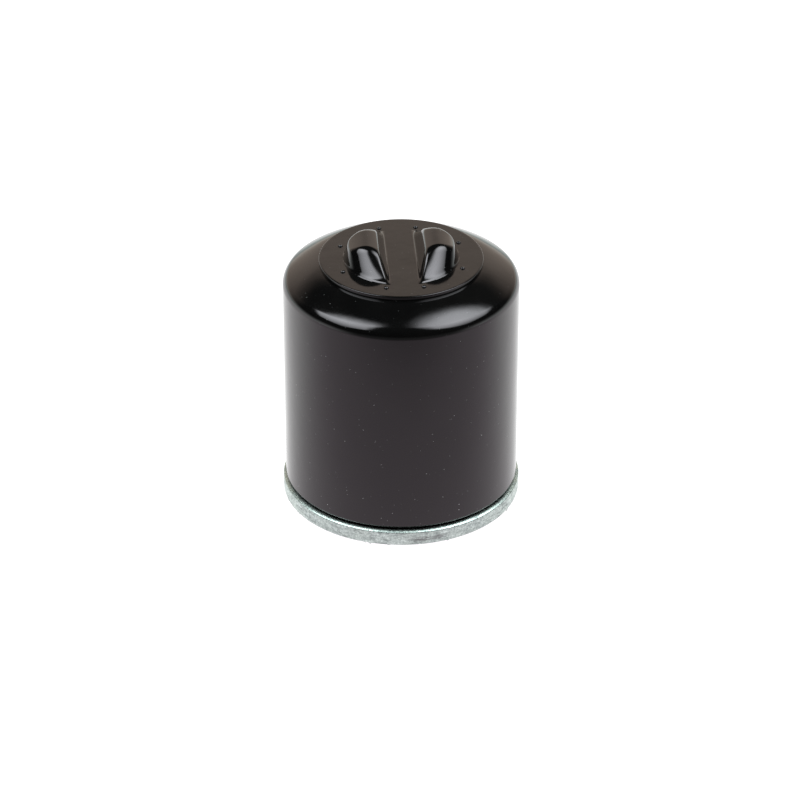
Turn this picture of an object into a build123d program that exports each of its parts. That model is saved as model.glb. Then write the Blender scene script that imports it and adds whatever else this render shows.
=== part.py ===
from build123d import *
import math
import os

# Spin-on oil filter. Millimetres, +Z up. The origin is the centre of the gasket's sealing face,
# so the filter stands on z = 0 and its dome points up.

# ---------------------------------------------------------------- driving dimensions
CAN_R = 26.0             # outside of the drawn can
CAN_SHEET = 0.6          # can steel
LID_SHEET = 0.5          # lid steel
CAP_SHEET = 0.5          # end cap steel
GAP = 0.05               # working gap between nested rings

# dome of the can
WALL_TOP_Z = 52.4        # the straight wall ends here
KNUCKLE_R = 3.1          # tight roll from wall to crown
KNUCKLE_TURN = 57.3      # degrees turned by the knuckle
CROWN_R = 22.3           # shallow crown above the knuckle
PLATEAU_FOOT_R = 18.0    # foot of the step round the plateau
PLATEAU_Z = 58.75        # top of the plateau
STEP_LEAN = 0.2          # how far the step leans in over its height
RIM_ROUND = 0.4          # rounded edge of the plateau
FOOT_ROUND = 0.12        # hollow at the foot of the step

# grip lugs and pips on the plateau
LUG_HEIGHT = 4.9
LUG_FOOT = (3.3, 11.8, 12.5)     # inner wall x, half length and outer x at the plateau
LUG_TAPER_H = 5.6                # the side walls lean in over this height
LUG_TAPERED = (5.75, 2.8, 11.1)  # inner wall x, half length and outer x at that height
LUG_BACK_R = 5.2         # the top is a cylinder along Y
LUG_BACK_X = 7.8
LUG_CORNER_ROUND = 1.0
LUG_CREST_ROUND = 1.3
LUG_BASE_ROUND = 0.9
PIP_CIRCLE_R = 14.3
PIP_ANGLES = (24.5, 73.5)        # from the X axis, mirrored into all four quarters
PIP_R = 0.4
PIP_SINK = 0.15          # the pip's ball centre lies this far under the plateau

# double seam at the foot
BAND_R = 26.54           # outside of the seam
BAND_LOW_Z = 1.0         # the gasket stands this far proud of the band
BAND_TOP_Z = 4.53
SEAM_WALL_R = 25.0       # outside of the can wall inside the seam
FLANGE_Z = 1.9           # underside of the can's turned flange
BODY_HOOK_TOP_Z = 3.7
COVER_HOOK_LOW_Z = 2.9
NECK_TOP_Z = 5.9         # the can draws in below this height

# lid, gasket and tapping plate
TROUGH_ROOF_Z = 3.5
TROUGH_IN_R = 20.25      # inner wall of the gasket channel
TROUGH_LIP_Z = 1.7
GASKET_ROUND = 0.4
PLATE_R = 24.1
PLATE_T = 2.8
THREAD_MINOR_R = 9.188   # M20 x 1.5 internal thread, minor diameter 18.376
THREAD_LEAD_IN = 0.9
THREAD_RUN_OUT = 0.5
COLLAR_R = 12.4
COLLAR_TOP_Z = 13.0
COLLAR_ROUND = 0.7
INLET_COUNT = 8
INLET_R = 2.4
INLET_CIRCLE_R = 15.8

# anti-drain valve
VALVE_RING_IN_R = 10.2
VALVE_RING_OUT_R = 12.9
VALVE_RING_T = 1.2
VALVE_LIP_R = 21.6
VALVE_LIP_W = 0.8
VALVE_LIP_H = 0.9
VALVE_SKIRT_T = 1.0

# filter element
ELEMENT_R = 23.3         # outside of the end caps
CAP_RIM_H = 3.3
LOWER_CAP_HOLE_R = 10.6
TUBE_R = 13.0
TUBE_SHEET = 0.5
POTTING_T = 1.3
MEDIA_H = 30.0
MEDIA_OUT_R = 22.3
MEDIA_IN_R = 13.7
PLEATS = 40
PAPER_T = 0.45
TUBE_HOLE_R = 1.6
TUBE_HOLE_ROWS = 6
TUBE_HOLES_ROUND = 10
CLIP_SHEET = 0.35
CLIP_HALF_GAP = 0.5
CLIP_DEPTH = 2.1

# bypass valve in the upper end cap
SEAT_BORE_R = 3.9
SEAT_OUT_R = 4.45
SEAT_FLANGE_R = 6.2
SEAT_FLANGE_T = 0.4
SEAT_BEAD_H = 0.3        # the seat's bead stands this far below the cap
SEAL_R = 5.8
SEAL_HOLE_R = 2.6
SEAL_T = 1.0
POPPET_R = 6.2
POPPET_T = 0.8
STEM_R = 1.9
STEM_L = 10.6
CAGE_WALL_R = 8.0
CAGE_FLANGE_R = 9.5
CAGE_SHEET = 0.6
CAGE_H = 11.0
CAGE_GUIDE_R = 2.0
CAGE_WINDOWS = 4
CAGE_WINDOW_W = 4.5
CAGE_WINDOW_H = 6.0
BYPASS_COIL_R = 5.0
BYPASS_WIRE_R = 0.45
BYPASS_TURNS = 5

# hold-down spring and its seat
SPRING_SEAT_IN_R = 9.8
SPRING_SEAT_OUT_R = 13.6
SPRING_SEAT_RIM_H = 1.6
SPRING_LOW_R = 11.7
SPRING_TOP_R = 15.3
SPRING_WIRE_R = 0.8
SPRING_TURNS = 3

# ---------------------------------------------------------------- heights worked out from those
PLATE_LOW_Z = TROUGH_ROOF_Z + LID_SHEET
PLATE_TOP_Z = PLATE_LOW_Z + PLATE_T
VALVE_TOP_Z = COLLAR_TOP_Z + VALVE_RING_T
LOWER_CAP_TOP_Z = VALVE_TOP_Z + CAP_SHEET
MEDIA_LOW_Z = LOWER_CAP_TOP_Z + POTTING_T
MEDIA_TOP_Z = MEDIA_LOW_Z + MEDIA_H
UPPER_CAP_LOW_Z = MEDIA_TOP_Z + POTTING_T
UPPER_CAP_TOP_Z = UPPER_CAP_LOW_Z + CAP_SHEET
SEAL_TOP_Z = UPPER_CAP_LOW_Z - SEAT_BEAD_H
POPPET_TOP_Z = SEAL_TOP_Z - SEAL_T
POPPET_LOW_Z = POPPET_TOP_Z - POPPET_T
CAGE_LOW_Z = UPPER_CAP_LOW_Z - CAGE_H
CAGE_FLOOR_Z = CAGE_LOW_Z + CAGE_SHEET
SPRING_SEAT_TOP_Z = UPPER_CAP_TOP_Z + CAP_SHEET
DOME_UNDER_Z = PLATEAU_Z - CAN_SHEET
CROWN_X = CAN_R - KNUCKLE_R - (CROWN_R - KNUCKLE_R) * math.cos(math.radians(KNUCKLE_TURN))
CROWN_Z = WALL_TOP_Z - (CROWN_R - KNUCKLE_R) * math.sin(math.radians(KNUCKLE_TURN))


# ---------------------------------------------------------------- helpers
def outline(*points):
    """Closed face from (radius, height) corners."""
    return make_face(Polyline(*points, close=True))


def rounded(face, corners):
    """Round the listed corners of a face. corners holds ((r, z), radius) pairs."""
    for place, radius in corners:
        corner = face.vertices().sort_by_distance(place)[0]
        face = fillet(corner, radius)
    return face


def turned(face):
    """Turn a (radius, height) face about the filter's axis."""
    return revolve(Plane.XZ * face, Axis.Z)


def ring(r_in, r_out, z_low, z_top):
    return turned(outline((r_in, z_low), (r_out, z_low), (r_out, z_top), (r_in, z_top)))


def disc(radius, z_low, z_top):
    return Pos(0, 0, z_low) * extrude(Circle(radius), z_top - z_low)


def coil(low_r, top_r, wire_r, z_low, z_top, turns):
    """Round-wire spring whose wire touches z_low and z_top."""
    rise = z_top - z_low - 2 * wire_r
    lean = math.degrees(math.atan2(top_r - low_r, rise))
    path = Pos(0, 0, z_low + wire_r) * Helix(rise / turns, rise, low_r, cone_angle=lean)
    section = Plane(origin=path @ 0, z_dir=path % 0) * Circle(wire_r)
    return sweep(section, path)


# ---------------------------------------------------------------- can
def dome(inset, z_low):
    """Solid under the dome, with every wall moved in by inset."""
    wall_r = CAN_R - inset
    foot_r = PLATEAU_FOOT_R - inset
    top_z = PLATEAU_Z - inset
    crown_end = math.degrees(math.acos((foot_r - CROWN_X) / (CROWN_R - inset)))
    knuckle = CenterArc((CAN_R - KNUCKLE_R, WALL_TOP_Z), KNUCKLE_R - inset, 0, KNUCKLE_TURN)
    crown = CenterArc((CROWN_X, CROWN_Z), CROWN_R - inset, KNUCKLE_TURN, crown_end - KNUCKLE_TURN)
    rim = (foot_r - STEP_LEAN, top_z)
    sides = Polyline(crown @ 1, rim, (0, top_z), (0, z_low), (wall_r, z_low), knuckle @ 0)
    face = make_face(knuckle + crown + sides)
    return turned(rounded(face, [(rim, RIM_ROUND), (crown @ 1, FOOT_ROUND)]))


def half_moon(inner_x, tip_y, outer_x, z):
    """D-shaped face at height z: a straight inner side and a bowed outer side."""
    chord = Line((inner_x, -tip_y), (inner_x, tip_y))
    bow = ThreePointArc((inner_x, tip_y), (outer_x, 0), (inner_x, -tip_y))
    return Pos(0, 0, z) * make_face(chord + bow)


def lug(inset):
    """Half-moon grip lug on the +X side with every wall moved in by inset, its edges still sharp."""
    inner_x, tip_y, outer_x = LUG_FOOT
    foot = half_moon(inner_x + inset, tip_y - 2 * inset, outer_x - inset, PLATEAU_Z - inset)
    inner_x, tip_y, outer_x = LUG_TAPERED
    tapered = half_moon(inner_x + inset, tip_y - inset, outer_x - inset, PLATEAU_Z + LUG_TAPER_H - inset)
    axis = Pos(LUG_BACK_X, 0, PLATEAU_Z + LUG_HEIGHT - LUG_BACK_R)
    back = axis * Rot(90, 0, 0) * Cylinder(LUG_BACK_R - inset, 2 * CAN_R)
    below = axis * Box(CAN_R, 2 * CAN_R, CAN_R, align=(Align.CENTER, Align.CENTER, Align.MAX))
    return loft([foot, tapered]) & (back + below)


def rounded_lug():
    """The lug's outside: its two inner corners are rounded first, then every edge of its top."""
    body = lug(0)
    inner_wall = body.faces().sort_by(Axis.X)[0]
    corners = [edge for edge in inner_wall.edges() if abs(edge.center().Y) > LUG_TAPERED[1] * 2]
    body = fillet(corners, LUG_CORNER_ROUND)
    top = body.faces().sort_by(lambda face: face.center().Z)[-1]
    return fillet(top.edges(), LUG_CREST_ROUND)


def pips():
    ball = Pos(PIP_CIRCLE_R, 0, PLATEAU_Z - PIP_SINK) * Sphere(PIP_R)
    return [Rot(0, 0, half_turn + side * angle) * ball
            for half_turn in (0, 180) for side in (-1, 1) for angle in PIP_ANGLES]


def neck_and_hook():
    """Drawn-in foot of the can: neck, wall inside the seam, turned flange and body hook."""
    seam_in_r = SEAM_WALL_R - CAN_SHEET
    hook_out_r = BAND_R - LID_SHEET - GAP
    hook_in_r = hook_out_r - LID_SHEET
    bend_r = CAN_R - SEAM_WALL_R
    outer_bend = CenterArc((SEAM_WALL_R, NECK_TOP_Z), bend_r, -90, 90)
    inner_bend = CenterArc((SEAM_WALL_R, NECK_TOP_Z), bend_r - CAN_SHEET, -90, 90)
    flange_top_z = FLANGE_Z + CAN_SHEET
    below = Polyline(
        outer_bend @ 0, (SEAM_WALL_R, flange_top_z), (hook_in_r, flange_top_z),
        (hook_in_r, BODY_HOOK_TOP_Z), (hook_out_r, BODY_HOOK_TOP_Z), (hook_out_r, FLANGE_Z),
        (seam_in_r, FLANGE_Z), (seam_in_r, NECK_TOP_Z - bend_r + CAN_SHEET), inner_bend @ 0)
    return turned(make_face(outer_bend + below + inner_bend + Line(inner_bend @ 1, outer_bend @ 1)))


def make_can():
    outside = dome(0, NECK_TOP_Z)
    inside = dome(CAN_SHEET, NECK_TOP_Z)
    for turn in (0, 180):
        outside += Rot(0, 0, turn) * rounded_lug()
        inside += Rot(0, 0, turn) * lug(CAN_SHEET)
    at_plateau = outside.edges().filter_by_position(Axis.Z, PLATEAU_Z - GAP, PLATEAU_Z + GAP)
    lug_feet = at_plateau.filter_by(lambda edge: abs(edge.center().X) > LUG_FOOT[0] / 2)
    outside = fillet(lug_feet, LUG_BASE_ROUND)
    for pip in pips():
        outside += pip
    return outside - inside + neck_and_hook()


# ---------------------------------------------------------------- sealing end
def make_seaming_lid():
    wall_out_r = SEAM_WALL_R - CAN_SHEET - GAP
    wall_in_r = wall_out_r - LID_SHEET
    band_in_r = BAND_R - LID_SHEET
    hook_in_r = SEAM_WALL_R + GAP
    hook_out_r = hook_in_r + LID_SHEET - 2 * GAP
    panel_z = BAND_LOW_Z + LID_SHEET
    curl_z = BAND_TOP_Z - LID_SHEET
    lip_in_r = TROUGH_IN_R - LID_SHEET
    face = outline(
        (lip_in_r, PLATE_LOW_Z), (wall_out_r, PLATE_LOW_Z), (wall_out_r, panel_z),
        (band_in_r, panel_z), (band_in_r, curl_z), (hook_out_r, curl_z),
        (hook_out_r, COVER_HOOK_LOW_Z), (hook_in_r, COVER_HOOK_LOW_Z), (hook_in_r, BAND_TOP_Z),
        (BAND_R, BAND_TOP_Z), (BAND_R, BAND_LOW_Z), (wall_in_r, BAND_LOW_Z),
        (wall_in_r, TROUGH_ROOF_Z), (TROUGH_IN_R, TROUGH_ROOF_Z), (TROUGH_IN_R, TROUGH_LIP_Z),
        (lip_in_r, TROUGH_LIP_Z))
    sheet = LID_SHEET
    return turned(rounded(face, [
        ((BAND_R, BAND_TOP_Z), sheet), ((BAND_R, BAND_LOW_Z), sheet), ((hook_in_r, BAND_TOP_Z), sheet / 2),
        ((wall_in_r, BAND_LOW_Z), sheet / 2), ((lip_in_r, PLATE_LOW_Z), sheet / 2)]))


def make_mounting_gasket():
    in_r = TROUGH_IN_R + GAP
    out_r = SEAM_WALL_R - CAN_SHEET - LID_SHEET - 2 * GAP
    face = outline((in_r, 0), (out_r, 0), (out_r, TROUGH_ROOF_Z), (in_r, TROUGH_ROOF_Z))
    return turned(rounded(face, [((in_r, 0), GASKET_ROUND), ((out_r, 0), GASKET_ROUND)]))


def make_base_plate():
    """Tapping plate: flat disc, threaded collar drawn inwards and a ring of inlet holes."""
    bore = THREAD_MINOR_R
    face = outline(
        (bore + THREAD_LEAD_IN, PLATE_LOW_Z), (PLATE_R, PLATE_LOW_Z), (PLATE_R, PLATE_TOP_Z),
        (COLLAR_R, PLATE_TOP_Z), (COLLAR_R, COLLAR_TOP_Z), (bore + THREAD_RUN_OUT, COLLAR_TOP_Z),
        (bore, COLLAR_TOP_Z - THREAD_RUN_OUT), (bore, PLATE_LOW_Z + THREAD_LEAD_IN))
    plate = turned(rounded(face, [
        ((COLLAR_R, PLATE_TOP_Z), COLLAR_ROUND), ((COLLAR_R, COLLAR_TOP_Z), COLLAR_ROUND)]))
    for loc in PolarLocations(INLET_CIRCLE_R, INLET_COUNT):
        plate -= loc * disc(INLET_R, PLATE_LOW_Z - 1, PLATE_TOP_Z + 1)
    return plate


def make_seam_sealant():
    """Ring of compound trapped between the lid and the can's turned flange."""
    low_z = BAND_LOW_Z + LID_SHEET
    return ring(SEAM_WALL_R - CAN_SHEET + GAP, BAND_R - LID_SHEET - 2 * GAP, low_z, FLANGE_Z)


def make_anti_drain_valve():
    """Rubber cone: a ring on the collar and a skirt whose lip rests outside the inlet holes."""
    lip_in_r = VALVE_LIP_R - VALVE_LIP_W
    lip_z = PLATE_TOP_Z + GAP
    shoulder_z = lip_z + VALVE_LIP_H
    return turned(outline(
        (VALVE_RING_IN_R, COLLAR_TOP_Z), (VALVE_RING_OUT_R, COLLAR_TOP_Z), (lip_in_r, shoulder_z - 0.2),
        (lip_in_r, lip_z), (VALVE_LIP_R, lip_z), (VALVE_LIP_R, shoulder_z + VALVE_SKIRT_T / 2),
        (VALVE_RING_OUT_R + VALVE_SKIRT_T / 3, VALVE_TOP_Z), (VALVE_RING_IN_R, VALVE_TOP_Z)))


# ---------------------------------------------------------------- filter element
def end_cap(hole_r, flat_z, rim_z):
    """Pressed cap: a flat from hole to rim, and a rim that reaches from the flat to rim_z."""
    rim_in_r = ELEMENT_R - CAP_SHEET
    inner_z = flat_z + math.copysign(CAP_SHEET, rim_z - flat_z)
    face = outline((hole_r, flat_z), (ELEMENT_R, flat_z), (ELEMENT_R, rim_z), (rim_in_r, rim_z),
                   (rim_in_r, inner_z), (hole_r, inner_z))
    return turned(rounded(face, [((ELEMENT_R, flat_z), CAP_SHEET)]))


def make_lower_end_cap():
    return end_cap(LOWER_CAP_HOLE_R, VALVE_TOP_Z, VALVE_TOP_Z + CAP_RIM_H)


def make_upper_end_cap():
    return end_cap(SEAT_OUT_R + GAP, UPPER_CAP_TOP_Z, UPPER_CAP_TOP_Z - CAP_RIM_H)


def potting(z_low):
    return ring(TUBE_R + GAP, ELEMENT_R - CAP_SHEET - GAP, z_low, z_low + POTTING_T)


def make_centre_tube():
    """Steel core with staggered rows of round holes."""
    tube = ring(TUBE_R - TUBE_SHEET, TUBE_R, LOWER_CAP_TOP_Z, UPPER_CAP_LOW_Z)
    row_gap = MEDIA_H / TUBE_HOLE_ROWS
    step = 360 / TUBE_HOLES_ROUND
    punch = Pos(TUBE_R, 0, 0) * Rot(0, 90, 0) * Cylinder(TUBE_HOLE_R, 4 * TUBE_SHEET)
    for row in range(TUBE_HOLE_ROWS):
        height = MEDIA_LOW_Z + (row + 0.5) * row_gap
        for column in range(TUBE_HOLES_ROUND):
            angle = (column + 0.5 * (row % 2)) * step
            tube -= Pos(0, 0, height) * Rot(0, 0, angle) * punch
    return tube


def make_filter_media():
    """Pleated paper: a zigzag band of even thickness, drawn up to the element's height."""
    half_step = math.pi / PLEATS
    folds = []
    for index in range(2 * PLEATS):
        radius = MEDIA_OUT_R if index % 2 == 0 else MEDIA_IN_R
        folds.append((radius * math.cos(index * half_step), radius * math.sin(index * half_step)))
    outside = outline(*folds)
    inside = offset(outside, -PAPER_T, kind=Kind.ARC)
    return Pos(0, 0, MEDIA_LOW_Z) * extrude(outside - inside, MEDIA_H)


def make_pleat_clip():
    """Folded steel strip that closes the paper over the pleat on the +X side."""
    tip_r = MEDIA_OUT_R + GAP
    root_r = tip_r - CLIP_DEPTH
    out_y = CLIP_HALF_GAP + CLIP_SHEET
    out_r = tip_r + CLIP_SHEET
    channel = outline((root_r, -out_y), (out_r, -out_y), (out_r, out_y), (root_r, out_y),
                      (root_r, CLIP_HALF_GAP), (tip_r, CLIP_HALF_GAP), (tip_r, -CLIP_HALF_GAP),
                      (root_r, -CLIP_HALF_GAP))
    return Pos(0, 0, MEDIA_LOW_Z + 2 * GAP) * extrude(channel, MEDIA_H - 4 * GAP)


# ---------------------------------------------------------------- bypass valve
def make_bypass_seat():
    """Flanged eyelet pressed into the upper cap; its lower end is the sealing bead."""
    flange_top_z = UPPER_CAP_TOP_Z + SEAT_FLANGE_T
    return turned(outline(
        (SEAT_BORE_R, SEAL_TOP_Z), (SEAT_OUT_R, SEAL_TOP_Z), (SEAT_OUT_R, UPPER_CAP_TOP_Z),
        (SEAT_FLANGE_R, UPPER_CAP_TOP_Z), (SEAT_FLANGE_R, flange_top_z), (SEAT_BORE_R, flange_top_z)))


def make_bypass_seal():
    return ring(SEAL_HOLE_R, SEAL_R, POPPET_TOP_Z, SEAL_TOP_Z)


def make_bypass_poppet():
    """Disc with a guide stem below and a locating boss through the seal."""
    boss_r = SEAL_HOLE_R - GAP
    boss_top_z = POPPET_TOP_Z + SEAL_T / 2
    stem_low_z = POPPET_LOW_Z - STEM_L
    return turned(outline(
        (0, stem_low_z), (STEM_R, stem_low_z), (STEM_R, POPPET_LOW_Z), (POPPET_R, POPPET_LOW_Z),
        (POPPET_R, POPPET_TOP_Z), (boss_r, POPPET_TOP_Z), (boss_r, boss_top_z), (0, boss_top_z)))


def make_bypass_cage():
    """Cup hung under the upper cap, with windows for the oil and a guide hole for the stem."""
    wall_in_r = CAGE_WALL_R - CAGE_SHEET
    flange_z = UPPER_CAP_LOW_Z - CAGE_SHEET
    cage = turned(rounded(outline(
        (CAGE_GUIDE_R, CAGE_LOW_Z), (CAGE_WALL_R, CAGE_LOW_Z), (CAGE_WALL_R, flange_z),
        (CAGE_FLANGE_R, flange_z), (CAGE_FLANGE_R, UPPER_CAP_LOW_Z), (wall_in_r, UPPER_CAP_LOW_Z),
        (wall_in_r, CAGE_FLOOR_Z), (CAGE_GUIDE_R, CAGE_FLOOR_Z)),
        [((CAGE_WALL_R, CAGE_LOW_Z), CAGE_SHEET)]))
    window = Pos(CAGE_WALL_R, 0, CAGE_LOW_Z + CAGE_H / 2) * Box(CAGE_WALL_R, CAGE_WINDOW_W, CAGE_WINDOW_H)
    for loc in PolarLocations(0, CAGE_WINDOWS):
        cage -= loc * window
    return cage


def make_bypass_spring():
    return coil(BYPASS_COIL_R, BYPASS_COIL_R, BYPASS_WIRE_R, CAGE_FLOOR_Z, POPPET_LOW_Z, BYPASS_TURNS)


# ---------------------------------------------------------------- hold-down spring
def make_spring_seat():
    """Pressed washer with an inner rim that centres the spring on the upper cap."""
    rim_r = SPRING_SEAT_IN_R + CAP_SHEET
    rim_z = UPPER_CAP_TOP_Z + SPRING_SEAT_RIM_H
    return turned(outline(
        (SPRING_SEAT_IN_R, UPPER_CAP_TOP_Z), (SPRING_SEAT_OUT_R, UPPER_CAP_TOP_Z),
        (SPRING_SEAT_OUT_R, SPRING_SEAT_TOP_Z), (rim_r, SPRING_SEAT_TOP_Z), (rim_r, rim_z),
        (SPRING_SEAT_IN_R, rim_z)))


def make_hold_down_spring():
    return coil(SPRING_LOW_R, SPRING_TOP_R, SPRING_WIRE_R, SPRING_SEAT_TOP_Z, DOME_UNDER_Z, SPRING_TURNS)


NODES = {
    "can": make_can,
    "seaming_lid": make_seaming_lid,
    "mounting_gasket": make_mounting_gasket,
    "base_plate": make_base_plate,
    "seam_sealant": make_seam_sealant,
    "anti_drain_valve": make_anti_drain_valve,
    "lower_end_cap": make_lower_end_cap,
    "lower_potting": lambda: potting(LOWER_CAP_TOP_Z),
    "centre_tube": make_centre_tube,
    "filter_media": make_filter_media,
    "pleat_clip": make_pleat_clip,
    "upper_potting": lambda: potting(MEDIA_TOP_Z),
    "upper_end_cap": make_upper_end_cap,
    "bypass_seat": make_bypass_seat,
    "bypass_cage": make_bypass_cage,
    "bypass_spring": make_bypass_spring,
    "bypass_poppet": make_bypass_poppet,
    "bypass_seal": make_bypass_seal,
    "spring_seat": make_spring_seat,
    "hold_down_spring": make_hold_down_spring,
}

os.makedirs("parts", exist_ok=True)
for name, make in NODES.items():
    solid = make()
    export_step(solid, f"parts/{name}.step")
    print(name, round(solid.volume, 1), "mm3", len(solid.solids()), "solid")
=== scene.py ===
import math

import bmesh
import bpy
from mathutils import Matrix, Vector, noise


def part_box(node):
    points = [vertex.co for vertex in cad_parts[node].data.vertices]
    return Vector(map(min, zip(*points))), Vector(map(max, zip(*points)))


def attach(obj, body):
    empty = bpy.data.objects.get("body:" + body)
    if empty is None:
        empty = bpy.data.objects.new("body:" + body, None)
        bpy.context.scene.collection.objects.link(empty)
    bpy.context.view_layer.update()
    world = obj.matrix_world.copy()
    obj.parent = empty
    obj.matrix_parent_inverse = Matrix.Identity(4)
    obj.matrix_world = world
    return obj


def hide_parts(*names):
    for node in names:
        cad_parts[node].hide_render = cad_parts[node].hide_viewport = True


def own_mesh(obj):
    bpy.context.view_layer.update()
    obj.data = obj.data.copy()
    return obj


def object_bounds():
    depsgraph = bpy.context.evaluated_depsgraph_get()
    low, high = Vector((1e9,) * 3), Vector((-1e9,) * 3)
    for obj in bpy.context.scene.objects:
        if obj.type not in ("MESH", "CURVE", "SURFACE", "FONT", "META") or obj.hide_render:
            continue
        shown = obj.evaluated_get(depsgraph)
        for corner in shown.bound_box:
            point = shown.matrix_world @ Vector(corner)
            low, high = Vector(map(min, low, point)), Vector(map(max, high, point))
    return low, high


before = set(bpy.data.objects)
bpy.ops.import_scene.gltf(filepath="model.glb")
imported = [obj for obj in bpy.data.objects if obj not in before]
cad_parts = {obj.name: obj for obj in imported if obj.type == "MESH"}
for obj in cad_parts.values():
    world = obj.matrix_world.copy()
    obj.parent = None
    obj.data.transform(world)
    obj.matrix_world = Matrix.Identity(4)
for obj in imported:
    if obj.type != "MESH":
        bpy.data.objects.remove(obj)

CAD_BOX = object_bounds()
MM = 0.001


# ---------------- where things are, from the frame
def span(node):
    """(outer radius, lowest z, highest z) of a CAD node, in millimetres."""
    low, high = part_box(node)
    return high.x / MM, low.z / MM, high.z / MM


CAN_R, CAN_LOW, CAN_TOP = span("can")
LID_R, LID_LOW, LID_TOP = span("seaming_lid")
GASKET_R, GASKET_LOW, GASKET_TOP = span("mounting_gasket")
PLATE_R, PLATE_LOW, PLATE_TOP = span("base_plate")
SEALANT_R, SEALANT_LOW, SEALANT_TOP = span("seam_sealant")
VALVE_R, VALVE_LOW, VALVE_TOP = span("anti_drain_valve")
GLUE_R, LOWER_GLUE_LOW, LOWER_GLUE_TOP = span("lower_potting")
UPPER_GLUE_LOW, UPPER_GLUE_TOP = span("upper_potting")[1:]
PAPER_R, PAPER_LOW, PAPER_TOP = span("filter_media")
SEAL_R, SEAL_LOW, SEAL_TOP = span("bypass_seal")
COIL_R, COIL_LOW, COIL_TOP = span("bypass_spring")
SPRING_LOW, SPRING_TOP = span("hold_down_spring")[1:]
TUBE_R = span("centre_tube")[0]

# ---------------- sizes that the boxes don't give, in mm
LID_SHEET = 0.5
CAN_SHEET = 0.6
SEAM_WALL_R = 25.0       # can wall inside the seam
GAP = 0.05               # between neighbouring pieces and layers
BODY_HOOK_TOP = 3.7
COVER_HOOK_LOW = 2.9
TROUGH_LIP_LOW = 1.7     # free edge of the gasket's channel
NECK_TOP = 5.9
WALL_TOP = 52.4
KNUCKLE_R = 3.1
KNUCKLE_TURN = 57.3      # degrees
CROWN_R = 22.3
LUG_HEIGHT = 4.9
PLATEAU_R = 18.0
PLATEAU_Z = CAN_TOP - LUG_HEIGHT
GASKET_IN_R = 20.3
PLATE_T = 2.8
COLLAR_R = 12.4
THREAD_MINOR_R = 9.188
THREAD_MAJOR_R = 10.0
THREAD_PITCH = 1.5
THREAD_LEAD = 1.15       # chamfer at the foot of the thread
THREAD_RUN_OUT = 0.95    # and at its top
INLETS = 8
INLET_R = 2.4
INLET_CIRCLE_R = 15.8
VALVE_RING_R = (10.2, 12.9)
FLAP_RIBS = 12
FLAP_RIB_DEPTH = 0.22
SEAL_HOLE_R = 2.6
SEAT_BEAD_R = 4.2
BYPASS_WIRE_R = 0.45
SPRING_WIRE_R = 0.8
SPRING_SMALL_R = 11.7
SPRING_LARGE_R = 15.3
PLEATS = 40
PLEAT_ROOT_R = 13.7
PLEAT_STEPS = 9          # points along one side of a pleat
PAPER_T = 0.45
PAPER_FILL = 0.75        # share of that thickness that is drawn


# ---------------- mesh helpers, in millimetres
def add_mesh(name, points, faces, material, crisp=35):
    """New object. Doubled points are joined, and edges that turn more than crisp degrees stay sharp."""
    work = bmesh.new()
    made = [work.verts.new(Vector(point) * MM) for point in points]
    for face in faces:
        work.faces.new([made[i] for i in face])
    bmesh.ops.remove_doubles(work, verts=work.verts, dist=0.002 * MM)
    bmesh.ops.dissolve_degenerate(work, edges=work.edges, dist=0.001 * MM)
    bmesh.ops.recalc_face_normals(work, faces=work.faces)
    mesh = bpy.data.meshes.new(name)
    work.to_mesh(mesh)
    work.free()
    mesh.materials.append(material)
    mesh.shade_smooth()
    mesh.set_sharp_from_angle(angle=math.radians(crisp))
    obj = bpy.data.objects.new(name, mesh)
    bpy.context.collection.objects.link(obj)
    return obj


def soften(corners, radius, count=4):
    """Closed outline with its corners rounded. A corner is (r, z), or (r, z, its own radius)."""
    out = []
    for i, corner in enumerate(corners):
        here = Vector(corner[:2])
        before = Vector(corners[i - 1][:2]) - here
        after = Vector(corners[(i + 1) % len(corners)][:2]) - here
        wanted = corner[2] if len(corner) > 2 else radius
        cut = min(wanted, 0.45 * before.length, 0.45 * after.length)
        start = here + before.normalized() * cut
        end = here + after.normalized() * cut
        for k in range(count + 1):
            t = k / count
            out.append(tuple(start * (1 - t) ** 2 + here * (2 * t * (1 - t)) + end * t ** 2))
    return out


def turned(outline, steps, shape=None):
    """Points and faces of a ring turned from a closed (r, z) outline. shape(angle, r, z) moves a point."""
    points, faces = [], []
    count = len(outline)
    for i in range(steps):
        angle = 2 * math.pi * i / steps
        for r, z in outline:
            if shape:
                r, z = shape(angle, r, z)
            points.append((r * math.cos(angle), r * math.sin(angle), z))
    for i in range(steps):
        here, there = i * count, (i + 1) % steps * count
        for j in range(count):
            k = (j + 1) % count
            faces.append((here + j, here + k, there + k, there + j))
    return points, faces


def open_strip(outline, steps):
    """Like turned, but the outline is open."""
    points, faces = turned(outline, steps)
    count = len(outline)
    return points, [face for k, face in enumerate(faces) if k % count != count - 1]


def joined(parts):
    """One list of points and one of faces from several (points, faces) pairs."""
    points, faces = [], []
    for more_points, more_faces in parts:
        start = len(points)
        points += more_points
        faces += [tuple(start + i for i in face) for face in more_faces]
    return points, faces


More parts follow.
